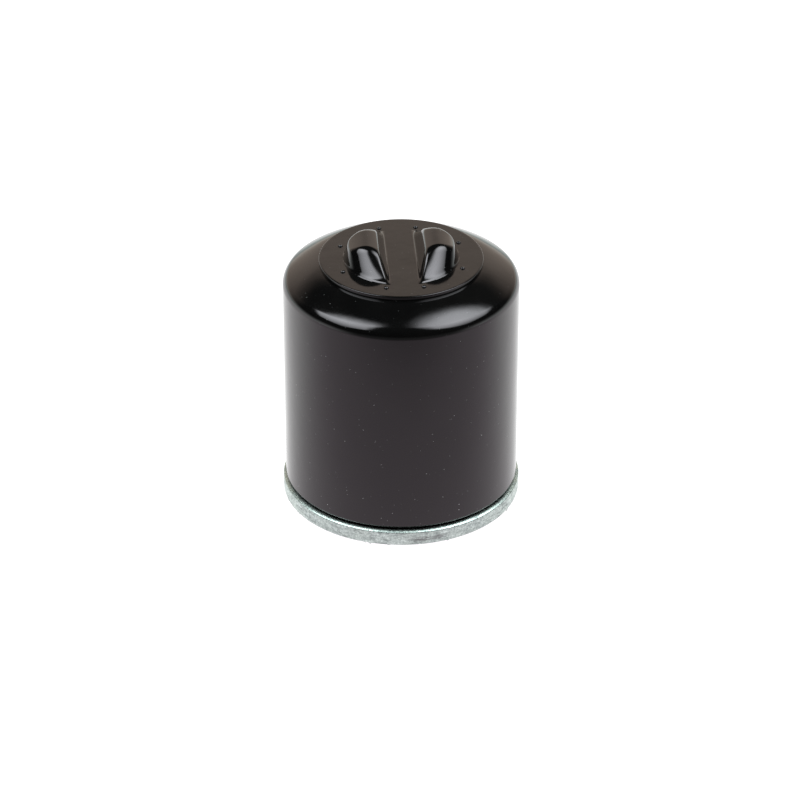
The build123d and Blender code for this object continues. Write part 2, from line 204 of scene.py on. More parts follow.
def wire(path, radius, sides=14):
    """Points and faces of a round wire along path, with slightly domed ends."""
    points, faces = [], []
    for i, here in enumerate(path):
        ahead = (path[min(i + 1, len(path) - 1)] - path[max(i - 1, 0)]).normalized()
        out = Vector((here.x, here.y, 0)).normalized()
        out = (out - ahead * out.dot(ahead)).normalized()
        up = ahead.cross(out)
        for k in range(sides):
            a = 2 * math.pi * k / sides
            points.append(here + (out * math.cos(a) + up * math.sin(a)) * radius)
    for i in range(len(path) - 1):
        for k in range(sides):
            n = (k + 1) % sides
            faces.append((i * sides + k, i * sides + n, (i + 1) * sides + n, (i + 1) * sides + k))
    last = (len(path) - 1) * sides
    for first, end, inner in ((0, path[0], path[1]), (last, path[-1], path[-2])):
        tip = len(points)
        points.append(end + (end - inner).normalized() * radius * 0.25)
        for k in range(sides):
            faces.append((first + k, first + (k + 1) % sides, tip))
    return points, faces


def closed_coil(low_r, high_r, wire_r, low_z, high_z, turns, flat_turns, per_turn=72):
    """Centre line of a coil whose end turns lie flat, as on a spring with closed ends."""
    path = []
    count = round(turns * per_turn)
    rise = high_z - low_z - 2 * wire_r
    for i in range(count + 1):
        turn = i / per_turn
        climb = min(max((turn - flat_turns) / (turns - 2 * flat_turns), 0), 1)
        climb = 0.8 * climb + 0.2 * climb * climb * (3 - 2 * climb)
        share = i / count
        r = low_r + (high_r - low_r) * share
        z = low_z + wire_r + rise * climb
        path.append(Vector((r * math.cos(2 * math.pi * turn), r * math.sin(2 * math.pi * turn), z)))
    return path


def ripple(x, y, z, size):
    """Smooth noise from -1 to 1 whose features are size millimetres across."""
    return noise.noise(Vector((x, y, z)) / size)


# ---------------- node tree helpers
class Tree:
    """A node tree, with short calls for the nodes used here."""

    def __init__(self, tree):
        self.tree = tree

    def node(self, kind, inputs=(), **settings):
        made = self.tree.nodes.new(kind)
        for key, value in settings.items():
            setattr(made, key, value)
        for key, value in dict(inputs).items():
            self.put(made.inputs[key], value)
        return made

    def put(self, socket, value):
        if isinstance(value, bpy.types.NodeSocket):
            self.tree.links.new(value, socket)
        else:
            socket.default_value = value

    def math(self, operation, a, b=0.0):
        return self.node("ShaderNodeMath", {0: a, 1: b}, operation=operation).outputs[0]

    def range(self, value, low, high, to_low, to_high, blend="LINEAR"):
        made = self.node("ShaderNodeMapRange", {"Value": value, "From Min": low, "From Max": high,
                                                "To Min": to_low, "To Max": to_high},
                         interpolation_type=blend)
        return made.outputs["Result"]

    def mix(self, factor, a, b):
        made = self.node("ShaderNodeMix", data_type="RGBA")
        self.put(made.inputs[0], factor)
        self.put(made.inputs[6], a)
        self.put(made.inputs[7], b)
        return made.outputs[2]


class Shader(Tree):
    """A material. Its coordinates are millimetres of the filter's own frame."""

    def __init__(self, name, **sockets):
        self.material = bpy.data.materials.new(name)
        self.material.use_nodes = True
        super().__init__(self.material.node_tree)
        self.bsdf = self.tree.nodes["Principled BSDF"]
        for socket, value in sockets.items():
            self.bsdf.inputs[socket.replace("_", " ")].default_value = value
        place = self.node("ShaderNodeTexCoord")
        self.mm = self.node("ShaderNodeVectorMath", {0: place.outputs["Object"], 1: (1000, 1000, 1000)},
                            operation="MULTIPLY").outputs[0]

    def stretch(self, x, y, z):
        return self.node("ShaderNodeVectorMath", {0: self.mm, 1: (x, y, z)}, operation="MULTIPLY").outputs[0]

    def noise(self, size, detail=3.0, rough=0.5, where=None):
        """Fractal noise whose features are size millimetres across."""
        made = self.node("ShaderNodeTexNoise", {"Vector": where or self.mm, "Scale": 1 / size,
                                                "Detail": detail, "Roughness": rough})
        return made.outputs["Fac"]

    def specks(self, size, share, radius):
        """Dots of the given radius in a grid of cells. share is how many cells hold one; most are faint."""
        cells = self.node("ShaderNodeTexVoronoi", {"Vector": self.mm, "Scale": 1 / size})
        dot = self.range(cells.outputs["Distance"], 0.5 * radius / size, radius / size, 1, 0)
        pick = self.node("ShaderNodeSeparateColor", {0: cells.outputs["Color"]}).outputs[0]
        return self.math("MULTIPLY", dot, self.math("POWER", self.range(pick, 0, share, 1, 0), 1.5))

    def axis(self, index):
        return self.node("ShaderNodeSeparateXYZ", {0: self.mm}).outputs[index]

    def from_axis(self):
        """Distance from the filter's axis, in millimetres."""
        flat = self.stretch(1, 1, 0)
        return self.node("ShaderNodeVectorMath", {0: flat}, operation="LENGTH").outputs["Value"]

    def bump(self, height, depth, under=None):
        """Bump of the given depth in millimetres."""
        inputs = {"Height": height, "Distance": depth * MM, "Strength": 1.0}
        if under is not None:
            inputs["Normal"] = under
        return self.node("ShaderNodeBump", inputs).outputs["Normal"]

    def finish(self, **links):
        for socket, value in links.items():
            self.put(self.bsdf.inputs[socket.replace("_", " ")], value)
        return self.material


def grey(value, warmth=0.0):
    return (value * (1 + warmth), value, value * (1 - warmth), 1)


# ---------------- materials
RUB_X = 4.4              # middle of the rubbed patch on the front of the band
RUB_Z = 2.5


def black_paint():
    """Gloss enamel: nearly black, faint orange peel, clouded gloss, and a little dust and lint."""
    s = Shader("black_paint", IOR=1.5, Specular_Tint=(1.0, 0.92, 0.965, 1))
    dust = s.specks(1.25, 0.9, 0.15)
    clumps = s.range(s.noise(6, 2), 0.38, 0.56, 0.1, 1)
    settled = s.range(s.axis(2), 30, 56, 1, 0.25)
    dust = s.math("MULTIPLY", dust, s.math("MULTIPLY", clumps, settled))
    lint = s.specks(4.3, 0.9, 0.26)
    film = s.noise(9, 4)
    colour = s.mix(s.range(film, 0.35, 0.7, 0, 1), grey(0.0016), grey(0.0030, 0.04))
    colour = s.mix(s.math("MULTIPLY", dust, 0.75), colour, grey(0.4))
    colour = s.mix(s.math("MULTIPLY", lint, 0.12), colour, grey(0.4))
    rough = s.range(s.noise(3.5, 5, 0.6), 0.3, 0.7, 0.07, 0.11)
    rough = s.math("MAXIMUM", rough, s.math("MULTIPLY", dust, 0.45))
    sway = s.bump(s.noise(6, 2), 0.03)
    peel = s.bump(s.noise(2.2, 2), 0.0035, sway)
    return s.finish(Base_Color=colour, Roughness=rough, Normal=s.bump(dust, 0.012, peel))


def zinc_plate():
    """Dull zinc: hoop-wise streaks from the seaming rolls, grey bloom, pits, a rubbed patch in front, and
    painted shade on the underside.
    """
    s = Shader("zinc_plate", Metallic=1.0)
    hoops = s.noise(1.1, 5, 0.66, s.stretch(0.35, 0.35, 2.0))
    grain = s.noise(0.5, 5, 0.75)
    cloud = s.noise(4, 3)
    scuff = s.range(s.noise(1.6, 6, 0.75, s.stretch(0.55, 0.55, 1.6)), 0.53, 0.66, 0, 0.9)
    pits = s.specks(0.9, 0.22, 0.17)
    colour = s.mix(s.range(hoops, 0.32, 0.68, 0, 1), (0.40, 0.455, 0.43, 1), (0.76, 0.86, 0.82, 1))
    colour = s.mix(s.range(grain, 0.40, 0.60, 0.9, 0), colour, (0.27, 0.32, 0.31, 1))
    colour = s.mix(s.range(cloud, 0.4, 0.7, 0, 0.4), colour, (0.70, 0.80, 0.73, 1))
    colour = s.mix(scuff, colour, (0.25, 0.28, 0.27, 1))
    rub_x = s.range(s.math("ABSOLUTE", s.math("SUBTRACT", s.axis(0), RUB_X)), 2.0, 5.5, 1, 0)
    rub_z = s.range(s.math("ABSOLUTE", s.math("SUBTRACT", s.axis(2), RUB_Z)), 0.35, 0.75, 1, 0)
    front = s.math("LESS_THAN", s.axis(1), 0)
    scratches = s.range(s.noise(0.5, 4, 0.7, s.stretch(0.25, 0.25, 1.8)), 0.44, 0.54, 0, 1)
    rub = s.math("MULTIPLY", s.math("MULTIPLY", rub_x, rub_z), s.math("MULTIPLY", front, scratches))
    colour = s.mix(s.math("MULTIPLY", rub, 0.8), colour, grey(0.16))
    colour = s.mix(s.math("MULTIPLY", pits, 0.8), colour, grey(0.06))
    # painted shade: the underside and lower edge of the band are darkened
    colour = s.mix(s.range(s.axis(2), LID_LOW - 0.25, LID_LOW + 0.10, 0.85, 0), colour, grey(0.10))
    rough = s.range(hoops, 0.3, 0.7, 0.46, 0.33)
    rough = s.math("ADD", rough, s.math("MULTIPLY", scuff, 0.2))
    relief = s.bump(hoops, 0.009, s.bump(grain, 0.006))
    return s.finish(Base_Color=colour, Roughness=rough, Normal=relief)


def sheet_metal(name, dark, light, rough, streak, stain=0.0, stain_colour=(0.10, 0.07, 0.04, 1)):
    """Plain or plated steel. streak is how far its grain is drawn out; stain is how much of it is soiled."""
    s = Shader(name, Metallic=1.0)
    grain = s.noise(0.8, 5, 0.65, s.stretch(*streak))
    cloud = s.noise(6, 4, 0.6)
    colour = s.mix(s.range(grain, 0.3, 0.7, 0, 1), dark, light)
    colour = s.mix(s.range(cloud, 0.35, 0.7, 0.25, 0), colour, dark)
    soil = s.range(s.noise(3.2, 5, 0.7), 0.52, 0.75, 0, stain)
    colour = s.mix(soil, colour, stain_colour)
    gloss = s.range(grain, 0.3, 0.7, rough - 0.06, rough + 0.08)
    gloss = s.math("ADD", gloss, s.math("MULTIPLY", soil, 0.25))
    return s.finish(Base_Color=colour, Roughness=gloss, Normal=s.bump(grain, 0.008))


def turned_metal(name, dark, light, rough, feed):
    """Lathe-turned metal: fine rings feed millimetres apart, with a soft bloom over them."""
    s = Shader(name, Metallic=1.0)
    way = s.math("ADD", s.from_axis(), s.axis(2))
    rings = s.math("SINE", s.math("MULTIPLY", way, 2 * math.pi / feed))
    bloom = s.noise(3, 4, 0.6)
    colour = s.mix(s.range(bloom, 0.3, 0.7, 0, 1), dark, light)
    colour = s.mix(s.range(rings, -1, 1, 0.18, 0), colour, dark)
    gloss = s.range(bloom, 0.3, 0.7, rough - 0.05, rough + 0.08)
    return s.finish(Base_Color=colour, Roughness=gloss, Normal=s.bump(rings, 0.004))


def rubber(name, dark, light, rough, sheen):
    """Moulded rubber: matt skin with a fine pebble, faint flow marks and pale mould dust."""
    s = Shader(name, IOR=1.52, Sheen_Weight=sheen, Sheen_Roughness=0.5)
    pebble = s.noise(0.35, 3, 0.6)
    flow = s.noise(4.5, 5, 0.6, s.stretch(1, 1, 0.4))
    bloom = s.range(s.noise(2.4, 6, 0.7), 0.52, 0.78, 0, 0.5)
    colour = s.mix(s.range(flow, 0.3, 0.7, 0, 1), dark, light)
    pale = tuple(min(1, 1.8 * c + 0.02) for c in light[:3]) + (1,)
    colour = s.mix(bloom, colour, pale)
    gloss = s.range(flow, 0.3, 0.7, rough - 0.07, rough + 0.1)
    return s.finish(Base_Color=colour, Roughness=gloss, Normal=s.bump(pebble, 0.015))


def cured_resin(name, dark, light, rough):
    """Cured adhesive or sealant: slightly translucent, with slow swirls and tiny bubbles."""
    s = Shader(name, IOR=1.48, Subsurface_Weight=0.15, Subsurface_Scale=0.6 * MM)
    swirl = s.noise(3.5, 4, 0.6, s.stretch(1, 1, 2))
    bubbles = s.specks(0.9, 0.3, 0.14)
    colour = s.mix(s.range(swirl, 0.3, 0.7, 0, 1), dark, light)
    colour = s.mix(s.math("MULTIPLY", bubbles, 0.6), colour, dark)
    gloss = s.range(swirl, 0.3, 0.7, rough - 0.08, rough + 0.1)
    relief = s.bump(s.noise(1.4, 3), 0.05, s.bump(bubbles, 0.04))
    return s.finish(Base_Color=colour, Roughness=gloss, Normal=relief)


def filter_paper():
    """Resin-treated paper: fibres, uneven resin, and the hoop-wise corrugation rolled into it, with painted
    shade in its hollows.
    """
    s = Shader("pleat_paper", IOR=1.45, Sheen_Weight=0.15)
    fibres = s.noise(0.22, 6, 0.7, s.stretch(1, 1, 0.6))
    resin = s.noise(4, 4, 0.6)
    waves = s.math("SINE", s.math("MULTIPLY", s.axis(2), 2 * math.pi / 1.8))
    colour = s.mix(s.range(resin, 0.3, 0.7, 0, 1), (0.50, 0.33, 0.13, 1), (0.66, 0.49, 0.24, 1))
    colour = s.mix(s.range(fibres, 0.35, 0.7, 0.4, 0), colour, (0.38, 0.24, 0.09, 1))
    # painted shade: the corrugation's hollows are darkened
    colour = s.mix(s.range(waves, -1, 1, 0.25, 0), colour, (0.42, 0.27, 0.10, 1))
    rough = s.range(fibres, 0.3, 0.7, 0.7, 0.9)
    relief = s.bump(waves, 0.05, s.bump(fibres, 0.03))
    return s.finish(Base_Color=colour, Roughness=rough, Normal=relief)


def make_materials():
    """Every material, by the record's slot name."""
    hoop, drawn, plain = (0.3, 0.3, 2), (1.5, 1.5, 0.2), (1, 1, 1)
    return {
        "black_paint": black_paint(),
        "zinc_plate": zinc_plate(),
        "nitrile_rubber": rubber("nitrile_rubber", grey(0.010), grey(0.020), 0.46, 0.12),
        "plate_steel": sheet_metal("plate_steel", grey(0.22, 0.02), grey(0.42, 0.01), 0.34, plain, 0.35),
        "sealant": cured_resin("sealant", (0.17, 0.06, 0.03, 1), (0.33, 0.13, 0.06, 1), 0.5),
        "silicone_rubber": rubber("silicone_rubber", (0.30, 0.045, 0.015, 1), (0.42, 0.07, 0.025, 1),
                                  0.5, 0.2),
        "tin_plate": sheet_metal("tin_plate", grey(0.50, 0.03), grey(0.74, 0.02), 0.26, hoop, 0.15),
        "plastisol": cured_resin("plastisol", (0.38, 0.11, 0.05, 1), (0.55, 0.20, 0.10, 1), 0.42),
        "tube_steel": sheet_metal("tube_steel", grey(0.36, 0.01), grey(0.60, 0.0), 0.33, drawn, 0.12),
        "pleat_paper": filter_paper(),
        "clip_steel": sheet_metal("clip_steel", grey(0.45), grey(0.68), 0.28, drawn, 0.1),
        "seat_brass": turned_metal("seat_brass", (0.52, 0.34, 0.10, 1), (0.75, 0.54, 0.22, 1), 0.27, 0.14),
        "cage_steel": sheet_metal("cage_steel", grey(0.40, -0.01), grey(0.62, -0.01), 0.32, drawn, 0.1),
        "spring_wire": sheet_metal("spring_wire", grey(0.13, 0.02), grey(0.30, 0.02), 0.3, plain, 0.3),
        "poppet_steel": turned_metal("poppet_steel", grey(0.42), grey(0.62), 0.25, 0.16),
        "seat_steel": sheet_metal("seat_steel", grey(0.42, -0.01), grey(0.66, -0.02), 0.31, hoop, 0.12),
    }


# ---------------- can
CAN_STEPS = 432
FIELD_R = 16.6           # the plateau inside this radius is a height field
RIM_R = 0.17             # rounding of the plateau's edge
CROWN_BEND = 22.3        # the crown is one arc up to this slope, in degrees, and flattens above it
CROWN_FLAT = 9.5         # its slope at the foot of the plateau's step
PIP_CIRCLE_R = 14.3
PIP_ANGLES = (24.5, 73.5)        # from the X axis, mirrored into all four quarters
PIP_R = 0.54
PIP_RISE = 0.75          # height over radius
PIP_SIDES = 20
FLAT_R = 2.4             # no lug comes nearer the axis than this
LUG_FOOT_R = 12.6        # circle through the feet of both lugs
LUG_INNER_X = 3.3
LUG_CREST_X = 7.7
LUG_BACK_R = 4.3         # the crest is rounded across to this radius
LUG_INNER_SLOPE = 2.3    # rise over run of the walls along the channel
LUG_OUTER_SLOPE = 3.4
LUG_END_SLOPE = 0.88     # of the two ends, under the crest line
LUG_END_TWIST = 0.085    # the ends grow steeper by this much for each millimetre away from the channel
LUG_CREST_BLEND = 0.9    # rounding of the crest into the ends
LUG_OUTER_BLEND = 0.65   # and into the outer walls
LUG_INNER_BLEND = (0.5, 1.7)     # and into the walls along the channel, at the middle and at the ends
LUG_INNER_REACH = (3.5, 7.5)     # where along the channel it goes from one to the other
LUG_FOOT_BLEND = 0.8     # rounding at the foot


def arc(centre, radius, start, end, count):
    """Points of an arc in the (r, z) plane. Angles in degrees."""
    return [(centre[0] + radius * math.cos(a), centre[1] + radius * math.sin(a))
            for a in [math.radians(start + (end - start) * k / count) for k in range(count + 1)]]


def soft_min(a, b, blend):
    """The smaller of two heights, with the corner between them rounded over blend."""
    share = min(max(0.5 + 0.5 * (b - a) / blend, 0), 1)
    return b + (a - b) * share - blend * share * (1 - share)


def lug_height(x, y, inset):
    """Height above the plateau of the pressed surface, moved in by inset."""
    x, y = abs(x), abs(y)
    foot_r = LUG_FOOT_R
    if x >= foot_r or y >= foot_r:
        return 0.0
    inner = LUG_INNER_SLOPE * (x - LUG_INNER_X) - inset * math.hypot(1, LUG_INNER_SLOPE)
    outer = LUG_OUTER_SLOPE * (math.sqrt(foot_r ** 2 - y * y) - x)
    outer -= inset * math.hypot(1, LUG_OUTER_SLOPE)
    slope = LUG_END_SLOPE + LUG_END_TWIST * (x - LUG_CREST_X)
    end = slope * (math.sqrt(foot_r ** 2 - x * x) - y) - inset * math.hypot(1, slope)
    crest = LUG_HEIGHT - (x - LUG_CREST_X) ** 2 / (2 * LUG_BACK_R)
    top = soft_min(crest, end, LUG_CREST_BLEND)
    top = soft_min(top, outer, LUG_OUTER_BLEND)
    near, far = LUG_INNER_REACH
    corner = min(max((y - near) / (far - near), 0), 1)
    tight, wide = LUG_INNER_BLEND
    top = soft_min(top, inner, tight + (wide - tight) * corner)
    return -soft_min(-top, 0.0, LUG_FOOT_BLEND)


def dome_outline(inset):
    """(r, z) points from the height field's edge over the rim and crown to the wall, moved in by inset."""
    crown_x = CAN_R - KNUCKLE_R - (CROWN_R - KNUCKLE_R) * math.cos(math.radians(KNUCKLE_TURN))
    crown_z = WALL_TOP - (CROWN_R - KNUCKLE_R) * math.sin(math.radians(KNUCKLE_TURN))
    bend_r = crown_x + CROWN_R * math.sin(math.radians(CROWN_BEND))
    bend_z = crown_z + CROWN_R * math.cos(math.radians(CROWN_BEND))
    steep = math.tan(math.radians(CROWN_BEND))
    flat = math.tan(math.radians(CROWN_FLAT))
    foot = PLATEAU_R - inset
    top = PLATEAU_Z - inset
    flattened = []
    for k in range(10):
        r = foot + (bend_r - foot) * k / 10
        slope = steep + (flat - steep) * (bend_r - r) / (bend_r - PLATEAU_R)
        z = bend_z + (bend_r - r) * (steep + slope) / 2
        flattened.append((r - inset * slope / math.hypot(1, slope), z - inset / math.hypot(1, slope)))
    return ([(FIELD_R, top), (foot - 0.5, top)]
            + arc((foot - RIM_R, top - RIM_R), RIM_R, 90, 5, 5) + flattened
            + arc((crown_x, crown_z), CROWN_R - inset, 90 - CROWN_BEND, KNUCKLE_TURN, 12)
            + arc((CAN_R - KNUCKLE_R, WALL_TOP), KNUCKLE_R - inset, KNUCKLE_TURN, 0, 24)[1:])


def can_outline():
    """Open outline of the sheet: down the outside, round the body hook and up the inside."""
    hook_out = LID_R - LID_SHEET - GAP
    hook_in = hook_out - 0.5
    flange_top = CAN_LOW + CAN_SHEET
    bend = CAN_R - SEAM_WALL_R
    outside = dome_outline(0) + arc((SEAM_WALL_R, NECK_TOP), bend, 0, -90, 10)
    hook = [(SEAM_WALL_R, flange_top), (hook_in, flange_top),
            (hook_in, BODY_HOOK_TOP - 0.08), (hook_in + 0.08, BODY_HOOK_TOP),
            (hook_out - 0.08, BODY_HOOK_TOP), (hook_out, BODY_HOOK_TOP - 0.08),
            (hook_out, CAN_LOW + 0.35), (hook_out - 0.35, CAN_LOW), (SEAM_WALL_R - CAN_SHEET, CAN_LOW)]
    inside = arc((SEAM_WALL_R, NECK_TOP), bend - CAN_SHEET, -90, 0, 6) + dome_outline(CAN_SHEET)[::-1]
    neck = [(SEAM_WALL_R - CAN_SHEET, NECK_TOP - bend + CAN_SHEET)]
    return outside + hook + neck + inside


def height_field(inset, rings):
    """Points and faces of the plateau with its two lugs. rings are the radii of its circles."""
    points, faces = [], []
    for r in rings:
        for i in range(CAN_STEPS):
            a = 2 * math.pi * i / CAN_STEPS
            x, y = r * math.cos(a), r * math.sin(a)
            points.append((x, y, PLATEAU_Z - inset + lug_height(x, y, inset)))
    for j in range(len(rings) - 1):
        for i in range(CAN_STEPS):
            n = (i + 1) % CAN_STEPS
            low, high = j * CAN_STEPS, (j + 1) * CAN_STEPS
            faces.append((low + i, low + n, high + n, high + i))
    points.append((0, 0, PLATEAU_Z - inset))
    faces += [(i, (i + 1) % CAN_STEPS, len(points) - 1) for i in range(CAN_STEPS)]
    return points, faces


def pip(x, y):
    """Small closed dome standing on the plateau."""
    rows = [(math.sin(a), PIP_R * PIP_RISE * math.cos(a)) for a in [math.radians(18 * k) for k in range(6)]]
    rows.append((1.0, -0.05))
    points = [(x, y, PLATEAU_Z + rows[0][1])]
    faces = []
    for share, height in rows[1:]:
        for k in range(PIP_SIDES):
            a = 2 * math.pi * k / PIP_SIDES
            out = PIP_R * share
            points.append((x + out * math.cos(a), y + out * math.sin(a), PLATEAU_Z + height))
    for k in range(PIP_SIDES):
        n = (k + 1) % PIP_SIDES
        faces.append((0, 1 + k, 1 + n))
        for row in range(len(rows) - 2):
            low = 1 + row * PIP_SIDES
            high = low + PIP_SIDES
            faces.append((low + k, low + n, high + n, high + k))
    faces.append(tuple(1 + (len(rows) - 2) * PIP_SIDES + k for k in range(PIP_SIDES)))
    return points, faces


def make_can(materials):
    fine = [FLAT_R + 0.14 * k for k in range(79)]
    coarse = [FLAT_R + 0.5 * k for k in range(23)]
    parts = [open_strip(can_outline(), CAN_STEPS),
             height_field(0.0, fine + [14.0, 15.3, FIELD_R]),
             height_field(CAN_SHEET, coarse + [15.0, FIELD_R])]
    for half_turn in (0, 180):
        for side in (-1, 1):
            for angle in PIP_ANGLES:
                a = math.radians(half_turn + side * angle)
                parts.append(pip(PIP_CIRCLE_R * math.cos(a), PIP_CIRCLE_R * math.sin(a)))
    points, faces = joined(parts)
    shell = add_mesh("can_shell", points, faces, materials["black_paint"])
    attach(shell, "shell")
    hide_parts("can")


# ---------------- seam and lid
BEVEL_W = 0.60           # sloped top edge that the seaming roll leaves on the band
BEVEL_DROP = 0.30
BAND_GROOVE = ((3.4, 0), (2.9, 0.05), (1.9, 0.04))   # (z, depth) of the hollow rolled into the band
EDGE_REACH = 0.8         # the lower edge's unevenness fades out over this height
BURR_FROM = 0.34         # ripple above which the edge has a burr
BURR_GAIN = 2.8
BURR_OUT = 0.12
BURR_HANG = 0.45
RIPPLE_R = 26            # circle that the seam's unevenness is read on


def lid_outline():
    """Lid from the gasket channel, over the seam's cover hook, to the rolled band."""
    wall_out = SEAM_WALL_R - CAN_SHEET - GAP
    wall_in = wall_out - LID_SHEET
    band_in = LID_R - LID_SHEET
    hook_in = SEAM_WALL_R + GAP
    hook_out = hook_in + LID_SHEET - 0.1
    panel = LID_LOW + LID_SHEET
    curl = LID_TOP - LID_SHEET
    trough_in = GASKET_IN_R - GAP
    lip = trough_in - LID_SHEET
    channel_roof = PLATE_LOW - LID_SHEET
    return soften([
        (lip, PLATE_LOW, 0.45), (wall_out, PLATE_LOW, 0.1), (wall_out, panel, 0.3), (band_in, panel, 0.2),
        (band_in, curl, 0.2), (hook_out, curl, 0.15),
        (hook_out, COVER_HOOK_LOW, 0.12), (hook_in, COVER_HOOK_LOW, 0.12),
        (hook_in, LID_TOP, 0.5), (LID_R - BEVEL_W, LID_TOP, 0.3), (LID_R, LID_TOP - BEVEL_DROP, 0.22),
        *[(LID_R - depth, z, 0.3) for z, depth in BAND_GROOVE],
        (LID_R, LID_LOW, 0.35), (wall_in, LID_LOW, 0.5),
        (wall_in, channel_roof, 0.3), (trough_in, channel_roof, 0.3),
        (trough_in, TROUGH_LIP_LOW, 0.1), (lip, TROUGH_LIP_LOW, 0.1)], 0.3)


def rolled_edge(angle, r, z):
    """The seaming rolls leave the band slightly uneven, with small burrs along its lower edge."""
    if r < LID_R - 0.9:
        return r, z
    x, y = RIPPLE_R * math.cos(angle), RIPPLE_R * math.sin(angle)
    low = max(0, 1 - abs(z - LID_LOW) / EDGE_REACH)
    burr = max(0, ripple(x, y, 3, 0.8) - BURR_FROM) * BURR_GAIN
    dent = ripple(x, y, z, 2.6) * 0.025
    sway = ripple(x, y, 0, 5) * 0.05
    return r + dent + low * burr * BURR_OUT, z + sway * low - burr * low * BURR_HANG


def make_seam_ring(materials):
    points, faces = turned(lid_outline(), 640, rolled_edge)
    ring = add_mesh("seam_ring", points, faces, materials["zinc_plate"])
    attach(ring, "shell")
    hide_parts("seaming_lid")


def make_sealant_ring(materials):
    low_r = SEAM_WALL_R - CAN_SHEET + 0.05
    outline = soften([(low_r, SEALANT_LOW), (SEALANT_R, SEALANT_LOW), (SEALANT_R, SEALANT_TOP),
                      (low_r, SEALANT_TOP)], 0.18)

    def squeezed(angle, r, z):
        wave = ripple(RIPPLE_R * math.cos(angle), RIPPLE_R * math.sin(angle), 0, 1.7)
        inward = max(0, wave) * 0.25 if r > SEALANT_R - 0.3 else 0
        return r - inward, z

    points, faces = turned(outline, 320, squeezed)
    ring = add_mesh("sealant_bead", points, faces, materials["sealant"])
    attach(ring, "shell")
    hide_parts("seam_sealant")


def make_gasket(materials):
    """Square-section seal with a crowned face, two sealing beads and a moulding flash line outside."""
    mid = (GASKET_IN_R + GASKET_R) / 2
    half = (GASKET_TOP - GASKET_LOW) / 2 + GASKET_LOW
    low = GASKET_LOW
    outline = soften([
        (GASKET_IN_R, GASKET_TOP, 0.25), (GASKET_IN_R, low + 0.3, 0.3), (mid - 1.15, low, 0.4),
        (mid - 0.45, low + 0.22, 0.3), (mid + 0.45, low + 0.22, 0.3), (mid + 1.15, low, 0.4),
        (GASKET_R - 0.04, low + 0.3, 0.3), (GASKET_R - 0.06, half - 0.14, 0.05),
        (GASKET_R, half - 0.06, 0.04), (GASKET_R, half + 0.06, 0.04),
        (GASKET_R - 0.06, half + 0.14, 0.05), (GASKET_R - 0.06, GASKET_TOP, 0.25)], 0.3)
    points, faces = turned(outline, 256)
    ring = add_mesh("sealing_gasket", points, faces, materials["nitrile_rubber"])
    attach(ring, "shell")
    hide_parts("mounting_gasket")


# ---------------- tapping plate
SECTOR_ARC = 20          # steps along each sector's arcs
SECTOR_SIDE = 6          # steps along its straight sides
THREAD_ROWS = 16         # rows of points in one pitch of the thread
PATCH_IN_R = 13.15
PATCH_OUT_R = 19.4
HOLE_BREAK = 0.25        # broken edge of each inlet hole


def thread_radius(phase):
    """Internal thread, 60 degrees: crest flat a quarter of the pitch, root flat an eighth."""
    crest, flank, root = 0.25, 0.3125, 0.125
    depth = THREAD_MAJOR_R - THREAD_MINOR_R
    phase %= 1
    if phase < crest:
        return THREAD_MINOR_R
    if phase < crest + flank:
        return THREAD_MINOR_R + depth * (phase - crest) / flank
    if phase < crest + flank + root:
        return THREAD_MAJOR_R
    return THREAD_MAJOR_R - depth * (phase - crest - flank - root) / flank


def thread_grid(steps):
    """Points and faces of the bore. The rows climb one pitch a turn, and are cut off flat at both ends."""
    low, high = PLATE_LOW, PLATE_TOP
    rows = THREAD_ROWS * math.ceil((high - low) / THREAD_PITCH + 3)
    points, faces = [], []
    for i in range(steps):
        turn = i / steps
        for j in range(rows):
            phase = j / THREAD_ROWS + turn
            z = min(max(low + (phase - 2) * THREAD_PITCH, low), high)
            cone = max(THREAD_MINOR_R + THREAD_LEAD - (z - low),
                       THREAD_MINOR_R + THREAD_RUN_OUT - (high - z))
            r = max(thread_radius(phase - turn), cone)
            angle = 2 * math.pi * turn
            points.append((r * math.cos(angle), r * math.sin(angle), z))
    for i in range(steps):
        last = i == steps - 1
        for j in range(rows - 1):
            n, m = (j + THREAD_ROWS, j + 1 + THREAD_ROWS) if last else (j, j + 1)
            if m < rows:
                there = (i + 1) % steps * rows
                faces.append((i * rows + j, i * rows + j + 1, there + m, there + n))
    return points, faces


def inlet_patch(z, sign, sector):
    """One sector of the plate's face round its inlet hole, and half of the hole's wall."""
    centre = 2 * math.pi * sector / INLETS
    half = math.pi / INLETS
    rim = []
    for k in range(SECTOR_ARC):
        rim.append((PATCH_IN_R, centre - half + 2 * half * k / SECTOR_ARC))
    for k in range(SECTOR_SIDE):
        rim.append((PATCH_IN_R + (PATCH_OUT_R - PATCH_IN_R) * k / SECTOR_SIDE, centre + half))
    for k in range(SECTOR_ARC):
        rim.append((PATCH_OUT_R, centre + half - 2 * half * k / SECTOR_ARC))
    for k in range(SECTOR_SIDE):
        rim.append((PATCH_OUT_R - (PATCH_OUT_R - PATCH_IN_R) * k / SECTOR_SIDE, centre - half))
    hole = Vector((INLET_CIRCLE_R * math.cos(centre), INLET_CIRCLE_R * math.sin(centre)))
    rings = []
    loop = [Vector((r * math.cos(a), r * math.sin(a))) for r, a in rim]
    edge = [hole + (point - hole).normalized() * (INLET_R + HOLE_BREAK) for point in loop]
    for share in (0, 0.3, 0.6, 0.85, 1):
        rings.append([(*(a * (1 - share) + b * share), z) for a, b in zip(loop, edge)])
    for widen, sink in ((0.08, 0.08), (0, HOLE_BREAK), (0, PLATE_T / 2)):
        wall = [hole + (point - hole).normalized() * (INLET_R + widen) for point in loop]
        rings.append([(*point, z + sign * sink) for point in wall])
    count = len(loop)
    points = [point for ring in rings for point in ring]
    faces = []
    for j in range(len(rings) - 1):
        for k in range(count):
            n = (k + 1) % count
            faces.append((j * count + k, j * count + n, (j + 1) * count + n, (j + 1) * count + k))
    return points, faces


